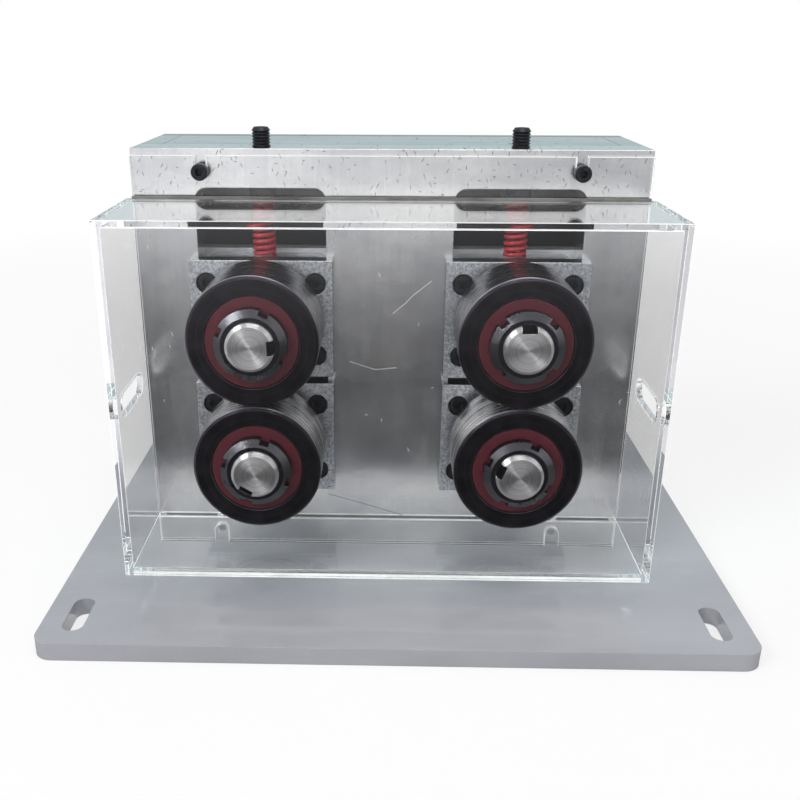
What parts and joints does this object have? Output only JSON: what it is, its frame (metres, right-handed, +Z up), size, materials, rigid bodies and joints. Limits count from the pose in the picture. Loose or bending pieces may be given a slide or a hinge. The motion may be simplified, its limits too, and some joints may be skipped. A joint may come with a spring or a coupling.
{
  "type": "wire straightener",
  "caption": "Bench wire straightener: spring-loaded upper rollers over fixed lower rollers on an aluminium box frame, with a clear guard and a slotted base plate.",
  "frame": {"origin": "centre of the base plate's underside", "axes": "+X along the wire, to the right seen from the front; +Y from the guard towards the back plate; +Z up"},
  "size_m": [0.3, 0.27, 0.202],
  "materials": {
    "base_steel": "ground, light sheen",
    "plate_aluminium": "milled and handled, blotchy",
    "block_aluminium": "bead blasted, mottled",
    "screw_black": "black oxide",
    "clear_acrylic": "clear with bright sawn edges",
    "spring_red": "red enamel",
    "roller_black": "black oxide with polished running surface",
    "nut_black": "black oxide with bright chamfers",
    "washer_red": "dark red paint",
    "shaft_steel": "turned",
    "key_steel": "bright drawn",
    "bearing_steel": "ground and polished"
  },
  "bodies": {
    "frame": {"base_plate": "base_steel", "front_plate": "plate_aluminium", "left_side_plate": "plate_aluminium", "right_side_plate": "plate_aluminium", "top_plate": "plate_aluminium", "back_plate": "plate_aluminium", "frame_fasteners": "screw_black", "guard_front_pane": "clear_acrylic", "guard_top_pane": "clear_acrylic", "guard_bottom_pane": "clear_acrylic", "guard_end_panes": "clear_acrylic", "guard_flanges": "clear_acrylic", "guard_screws": "screw_black", "lower_block_left": "block_aluminium", "lower_block_right": "block_aluminium", "lower_keepers": "block_aluminium", "lower_block_screws": "screw_black", "lower_bearing_rings": "bearing_steel", "spring_left": "spring_red", "spring_right": "spring_red"},
    "upper_block_left": {"upper_block_left": "block_aluminium", "upper_keeper_left": "block_aluminium", "upper_block_screws_left": "screw_black", "upper_bearing_rings_left": "bearing_steel"},
    "upper_block_right": {"upper_block_right": "block_aluminium", "upper_keeper_right": "block_aluminium", "upper_block_screws_right": "screw_black", "upper_bearing_rings_right": "bearing_steel"},
    "rotor_upper_left": {"roller_upper_left": "roller_black", "shaft_upper_left": "shaft_steel", "key_upper_left": "key_steel", "washer_upper_left": "washer_red", "nut_upper_left": "nut_black", "bearing_core_upper_left": "bearing_steel", "clip_upper_left": "screw_black"},
    "rotor_upper_right": {"roller_upper_right": "roller_black", "shaft_upper_right": "shaft_steel", "key_upper_right": "key_steel", "washer_upper_right": "washer_red", "nut_upper_right": "nut_black", "bearing_core_upper_right": "bearing_steel", "clip_upper_right": "screw_black"},
    "rotor_lower_left": {"roller_lower_left": "roller_black", "shaft_lower_left": "shaft_steel", "key_lower_left": "key_steel", "washer_lower_left": "washer_red", "nut_lower_left": "nut_black", "bearing_core_lower_left": "bearing_steel", "clip_lower_left": "screw_black"},
    "rotor_lower_right": {"roller_lower_right": "roller_black", "shaft_lower_right": "shaft_steel", "key_lower_right": "key_steel", "washer_lower_right": "washer_red", "nut_lower_right": "nut_black", "bearing_core_lower_right": "bearing_steel", "clip_lower_right": "screw_black"},
    "seat_left": {"seat_left": "screw_black"},
    "adjuster_left": {"adjuster_left": "screw_black"},
    "seat_right": {"seat_right": "screw_black"},
    "adjuster_right": {"adjuster_right": "screw_black"}
  },
  "joints": [
    {"name": "upper_block_lift_left", "type": "slide", "parent": "frame", "child": "upper_block_left", "axis": [0, 0, 1], "range_m": [0, 0.004], "stiffness_N_per_m": 20000, "springref_m": -0.003, "deforming": ["spring_left"]},
    {"name": "seat_travel_left", "type": "slide", "parent": "frame", "child": "seat_left", "axis": [0, 0, 1], "range_m": [-0.003, 0.002], "deforming": ["spring_left"]},
    {"name": "adjuster_turn_left", "type": "hinge", "parent": "seat_left", "child": "adjuster_left", "pos_m": [-0.0595, -0.0335, 0.177], "axis": [0, 0, 1], "range_deg": [-865, 577]},
    {"name": "upper_block_lift_right", "type": "slide", "parent": "frame", "child": "upper_block_right", "axis": [0, 0, 1], "range_m": [0, 0.004], "stiffness_N_per_m": 20000, "springref_m": -0.003, "deforming": ["spring_right"]},
    {"name": "seat_travel_right", "type": "slide", "parent": "frame", "child": "seat_right", "axis": [0, 0, 1], "range_m": [-0.003, 0.002], "deforming": ["spring_right"]},
    {"name": "adjuster_turn_right", "type": "hinge", "parent": "seat_right", "child": "adjuster_right", "pos_m": [0.0515, -0.0335, 0.177], "axis": [0, 0, 1], "range_deg": [-865, 577]},
    {"name": "roller_spin_upper_left", "type": "hinge", "parent": "upper_block_left", "child": "rotor_upper_left", "pos_m": [-0.0595, -0.0725, 0.1228], "axis": [0, 1, 0], "continuous": true},
    {"name": "roller_spin_upper_right", "type": "hinge", "parent": "upper_block_right", "child": "rotor_upper_right", "pos_m": [0.0515, -0.0725, 0.1228], "axis": [0, 1, 0], "continuous": true},
    {"name": "roller_spin_lower_left", "type": "hinge", "parent": "frame", "child": "rotor_lower_left", "pos_m": [-0.0595, -0.0725, 0.0675], "axis": [0, 1, 0], "continuous": true},
    {"name": "roller_spin_lower_right", "type": "hinge", "parent": "frame", "child": "rotor_lower_right", "pos_m": [0.0515, -0.0725, 0.0675], "axis": [0, 1, 0], "continuous": true}
  ],
  "couplings": [
    {"joint": "adjuster_turn_left", "follows": "seat_travel_left", "rad_per_m": 5026.5},
    {"joint": "adjuster_turn_right", "follows": "seat_travel_right", "rad_per_m": 5026.5}
  ]
}
